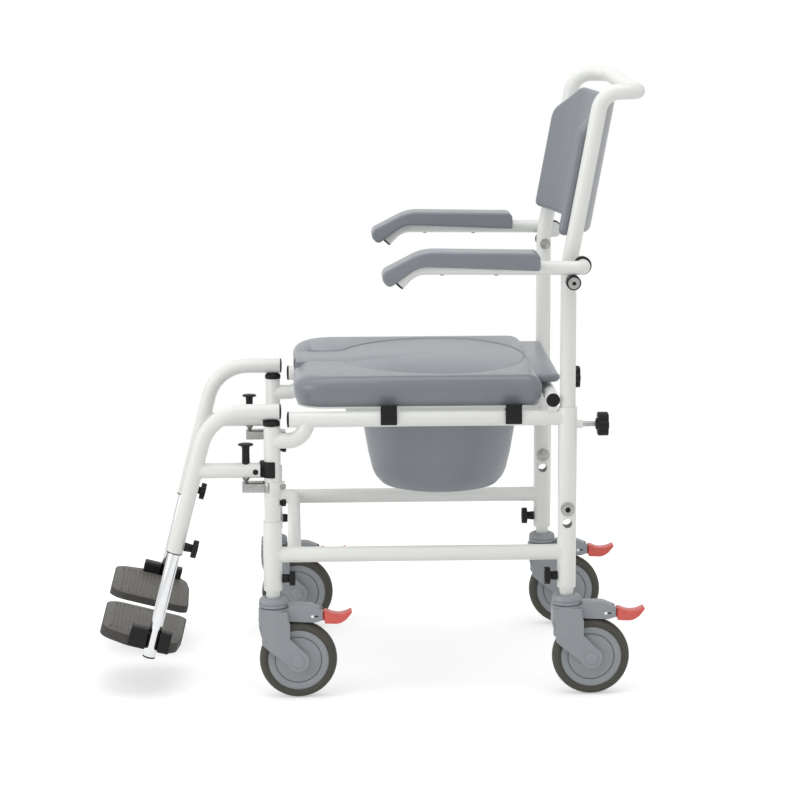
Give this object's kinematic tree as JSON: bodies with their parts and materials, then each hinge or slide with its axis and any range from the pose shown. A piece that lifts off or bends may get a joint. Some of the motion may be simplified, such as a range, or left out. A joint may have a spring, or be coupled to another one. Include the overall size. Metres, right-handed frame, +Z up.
{
  "type": "wheeled commode chair",
  "caption": "Wheeled commode and shower chair: white tube frame on braked casters, foam seat over a bucket, padded back, flip-up armrests and swing-away leg rests.",
  "frame": {"origin": "centre of the bounding box's footprint, on the floor under the casters", "axes": "+Z up; the sitter faces -Y, so the push handle is towards +Y; +X is the sitter's left"},
  "size_m": [0.633, 0.8805, 0.9845],
  "materials": {
    "frame_paint": "gloss",
    "seat_foam": "satin",
    "board_plastic": "satin",
    "bucket_plastic": "satin",
    "caster_plastic": "satin",
    "tyre_rubber": "matte",
    "pedal_plastic": "satin",
    "black_plastic": "satin",
    "zinc": "satin",
    "chrome": "polished",
    "footplate_plastic": "matte"
  },
  "bodies": {
    "frame": {"side_frame_left": "frame_paint", "side_frame_right": "frame_paint", "front_cross_tube": "frame_paint", "rear_cross_tube": "frame_paint", "latch_bracket_left": "zinc", "latch_bracket_right": "zinc"},
    "stem_front_left": {"caster_stem_front_left": "chrome"},
    "fork_front_left": {"caster_fork_front_left": "caster_plastic"},
    "wheel_front_left": {"caster_rim_front_left": "caster_plastic", "caster_tyre_front_left": "tyre_rubber"},
    "brake_pedal_front_left": {"caster_brake_pedal_front_left": "pedal_plastic"},
    "leg_knob_front_left": {"leg_knob_front_left": "black_plastic"},
    "stem_front_right": {"caster_stem_front_right": "chrome"},
    "fork_front_right": {"caster_fork_front_right": "caster_plastic"},
    "wheel_front_right": {"caster_rim_front_right": "caster_plastic", "caster_tyre_front_right": "tyre_rubber"},
    "brake_pedal_front_right": {"caster_brake_pedal_front_right": "pedal_plastic"},
    "leg_knob_front_right": {"leg_knob_front_right": "black_plastic"},
    "stem_rear_left": {"caster_stem_rear_left": "chrome"},
    "fork_rear_left": {"caster_fork_rear_left": "caster_plastic"},
    "wheel_rear_left": {"caster_rim_rear_left": "caster_plastic", "caster_tyre_rear_left": "tyre_rubber"},
    "brake_pedal_rear_left": {"caster_brake_pedal_rear_left": "pedal_plastic"},
    "leg_knob_rear_left": {"leg_knob_rear_left": "black_plastic"},
    "stem_rear_right": {"caster_stem_rear_right": "chrome"},
    "fork_rear_right": {"caster_fork_rear_right": "caster_plastic"},
    "wheel_rear_right": {"caster_rim_rear_right": "caster_plastic", "caster_tyre_rear_right": "tyre_rubber"},
    "brake_pedal_rear_right": {"caster_brake_pedal_rear_right": "pedal_plastic"},
    "leg_knob_rear_right": {"leg_knob_rear_right": "black_plastic"},
    "back": {"back_frame": "frame_paint", "backrest": "seat_foam", "arm_stop_left": "black_plastic", "arm_stop_right": "black_plastic"},
    "back_knob_left": {"back_knob_left": "black_plastic"},
    "arm_left": {"arm_tube_left": "frame_paint", "arm_pad_left": "seat_foam"},
    "hanger_left": {"leg_rest_hanger_left": "frame_paint", "hanger_saddle_left": "black_plastic"},
    "latch_left": {"latch_pin_left": "black_plastic"},
    "length_knob_left": {"length_knob_left": "black_plastic"},
    "leg_tube_left": {"leg_rest_tube_left": "chrome"},
    "footplate_left": {"footplate_left": "footplate_plastic"},
    "back_knob_right": {"back_knob_right": "black_plastic"},
    "arm_right": {"arm_tube_right": "frame_paint", "arm_pad_right": "seat_foam"},
    "hanger_right": {"leg_rest_hanger_right": "frame_paint", "hanger_saddle_right": "black_plastic"},
    "latch_right": {"latch_pin_right": "black_plastic"},
    "length_knob_right": {"length_knob_right": "black_plastic"},
    "leg_tube_right": {"leg_rest_tube_right": "chrome"},
    "footplate_right": {"footplate_right": "footplate_plastic"},
    "seat": {"seat_pad": "seat_foam", "seat_base": "board_plastic", "seat_clip_front_left": "black_plastic", "seat_clip_front_right": "black_plastic", "seat_clip_rear_left": "black_plastic", "seat_clip_rear_right": "black_plastic"},
    "insert": {"seat_insert": "seat_foam"},
    "bucket": {"bucket": "bucket_plastic"}
  },
  "joints": [
    {"name": "leg_height_front_left", "type": "slide", "parent": "frame", "child": "stem_front_left", "axis": [0, 0, -1], "range_m": [0, 0.05]},
    {"name": "swivel_front_left", "type": "hinge", "parent": "stem_front_left", "child": "fork_front_left", "pos_m": [0.23, -0.1567, 0.1485], "axis": [0, 0, 1], "continuous": true},
    {"name": "wheel_spin_front_left", "type": "hinge", "parent": "fork_front_left", "child": "wheel_front_left", "pos_m": [0.23, -0.1167, 0.0625], "axis": [1, 0, 0], "continuous": true},
    {"name": "brake_front_left", "type": "hinge", "parent": "fork_front_left", "child": "brake_pedal_front_left", "pos_m": [0.23, -0.0937, 0.1346], "axis": [-1, 0, 0], "range_deg": [0, 15]},
    {"name": "leg_knob_turn_front_left", "type": "hinge", "parent": "frame", "child": "leg_knob_front_left", "pos_m": [0.23, -0.1567, 0.195], "axis": [0, 1, 0], "continuous": true},
    {"name": "leg_height_front_right", "type": "slide", "parent": "frame", "child": "stem_front_right", "axis": [0, 0, -1], "range_m": [0, 0.05]},
    {"name": "swivel_front_right", "type": "hinge", "parent": "stem_front_right", "child": "fork_front_right", "pos_m": [-0.23, -0.1567, 0.1485], "axis": [0, 0, 1], "continuous": true},
    {"name": "wheel_spin_front_right", "type": "hinge", "parent": "fork_front_right", "child": "wheel_front_right", "pos_m": [-0.23, -0.1167, 0.0625], "axis": [1, 0, 0], "continuous": true},
    {"name": "brake_front_right", "type": "hinge", "parent": "fork_front_right", "child": "brake_pedal_front_right", "pos_m": [-0.23, -0.0937, 0.1346], "axis": [-1, 0, 0], "range_deg": [0, 15]},
    {"name": "leg_knob_turn_front_right", "type": "hinge", "parent": "frame", "child": "leg_knob_front_right", "pos_m": [-0.23, -0.1567, 0.195], "axis": [0, 1, 0], "continuous": true},
    {"name": "leg_height_rear_left", "type": "slide", "parent": "frame", "child": "stem_rear_left", "axis": [0, 0, -1], "range_m": [0, 0.05]},
    {"name": "swivel_rear_left", "type": "hinge", "parent": "stem_rear_left", "child": "fork_rear_left", "pos_m": [0.23, 0.3163, 0.1485], "axis": [0, 0, 1], "continuous": true},
    {"name": "wheel_spin_rear_left", "type": "hinge", "parent": "fork_rear_left", "child": "wheel_rear_left", "pos_m": [0.23, 0.3563, 0.0625], "axis": [1, 0, 0], "continuous": true},
    {"name": "brake_rear_left", "type": "hinge", "parent": "fork_rear_left", "child": "brake_pedal_rear_left", "pos_m": [0.23, 0.3793, 0.1346], "axis": [-1, 0, 0], "range_deg": [0, 15]},
    {"name": "leg_knob_turn_rear_left", "type": "hinge", "parent": "frame", "child": "leg_knob_rear_left", "pos_m": [0.23, 0.3163, 0.195], "axis": [0, 1, 0], "continuous": true},
    {"name": "leg_height_rear_right", "type": "slide", "parent": "frame", "child": "stem_rear_right", "axis": [0, 0, -1], "range_m": [0, 0.05]},
    {"name": "swivel_rear_right", "type": "hinge", "parent": "stem_rear_right", "child": "fork_rear_right", "pos_m": [-0.23, 0.3163, 0.1485], "axis": [0, 0, 1], "continuous": true},
    {"name": "wheel_spin_rear_right", "type": "hinge", "parent": "fork_rear_right", "child": "wheel_rear_right", "pos_m": [-0.23, 0.3563, 0.0625], "axis": [1, 0, 0], "continuous": true},
    {"name": "brake_rear_right", "type": "hinge", "parent": "fork_rear_right", "child": "brake_pedal_rear_right", "pos_m": [-0.23, 0.3793, 0.1346], "axis": [-1, 0, 0], "range_deg": [0, 15]},
    {"name": "leg_knob_turn_rear_right", "type": "hinge", "parent": "frame", "child": "leg_knob_rear_right", "pos_m": [-0.23, 0.3163, 0.195], "axis": [0, 1, 0], "continuous": true},
    {"name": "back_lift", "type": "slide", "parent": "frame", "child": "back", "axis": [0, 0, 1], "range_m": [0, 0.06]},
    {"name": "back_knob_turn_left", "type": "hinge", "parent": "frame", "child": "back_knob_left", "pos_m": [0.23, 0.3163, 0.443], "axis": [0, 1, 0], "continuous": true},
    {"name": "arm_lift_left", "type": "hinge", "parent": "back", "child": "arm_left", "pos_m": [0.2622, 0.3353, 0.7015], "axis": [-1, 0, 0], "range_deg": [0, 100]},
    {"name": "leg_rest_swing_left", "type": "hinge", "parent": "frame", "child": "hanger_left", "pos_m": [0.23, -0.1567, 0.467], "axis": [0, 0, 1], "range_deg": [0, 90]},
    {"name": "latch_pull_left", "type": "slide", "parent": "hanger_left", "child": "latch_left", "axis": [0, 0, 1], "range_m": [0, 0.01], "stiffness_N_per_m": 300, "springref_m": -0.01},
    {"name": "length_knob_turn_left", "type": "hinge", "parent": "hanger_left", "child": "length_knob_left", "pos_m": [0.23, -0.31049, 0.252], "axis": [0, 0.9683, -0.2498], "continuous": true},
    {"name": "leg_rest_length_left", "type": "slide", "parent": "hanger_left", "child": "leg_tube_left", "axis": [0, -0.2498, -0.9683], "range_m": [-0.08, 0.05]},
    {"name": "footplate_fold_left", "type": "hinge", "parent": "leg_tube_left", "child": "footplate_left", "pos_m": [0.23, -0.34816, 0.106], "axis": [0, 0.9683, -0.2498], "range_deg": [0, 85]},
    {"name": "back_knob_turn_right", "type": "hinge", "parent": "frame", "child": "back_knob_right", "pos_m": [-0.23, 0.3163, 0.443], "axis": [0, 1, 0], "continuous": true},
    {"name": "arm_lift_right", "type": "hinge", "parent": "back", "child": "arm_right", "pos_m": [-0.2622, 0.3353, 0.7015], "axis": [-1, 0, 0], "range_deg": [0, 100]},
    {"name": "leg_rest_swing_right", "type": "hinge", "parent": "frame", "child": "hanger_right", "pos_m": [-0.23, -0.1567, 0.467], "axis": [0, 0, -1], "range_deg": [0, 90]},
    {"name": "latch_pull_right", "type": "slide", "parent": "hanger_right", "child": "latch_right", "axis": [0, 0, 1], "range_m": [0, 0.01], "stiffness_N_per_m": 300, "springref_m": -0.01},
    {"name": "length_knob_turn_right", "type": "hinge", "parent": "hanger_right", "child": "length_knob_right", "pos_m": [-0.23, -0.31049, 0.252], "axis": [0, 0.9683, -0.2498], "continuous": true},
    {"name": "leg_rest_length_right", "type": "slide", "parent": "hanger_right", "child": "leg_tube_right", "axis": [0, -0.2498, -0.9683], "range_m": [-0.08, 0.05]},
    {"name": "footplate_fold_right", "type": "hinge", "parent": "leg_tube_right", "child": "footplate_right", "pos_m": [-0.23, -0.34816, 0.106], "axis": [0, -0.9683, 0.2498], "range_deg": [0, 85]},
    {"name": "seat_lift", "type": "slide", "parent": "frame", "child": "seat", "axis": [0, 0, 1], "range_m": [0, 0.08]},
    {"name": "insert_lift", "type": "slide", "parent": "seat", "child": "insert", "axis": [0, 0, 1], "range_m": [0, 0.06]},
    {"name": "bucket_pull", "type": "slide", "parent": "seat", "child": "bucket", "axis": [0, 1, 0], "range_m": [0, 0.35]}
  ]
}
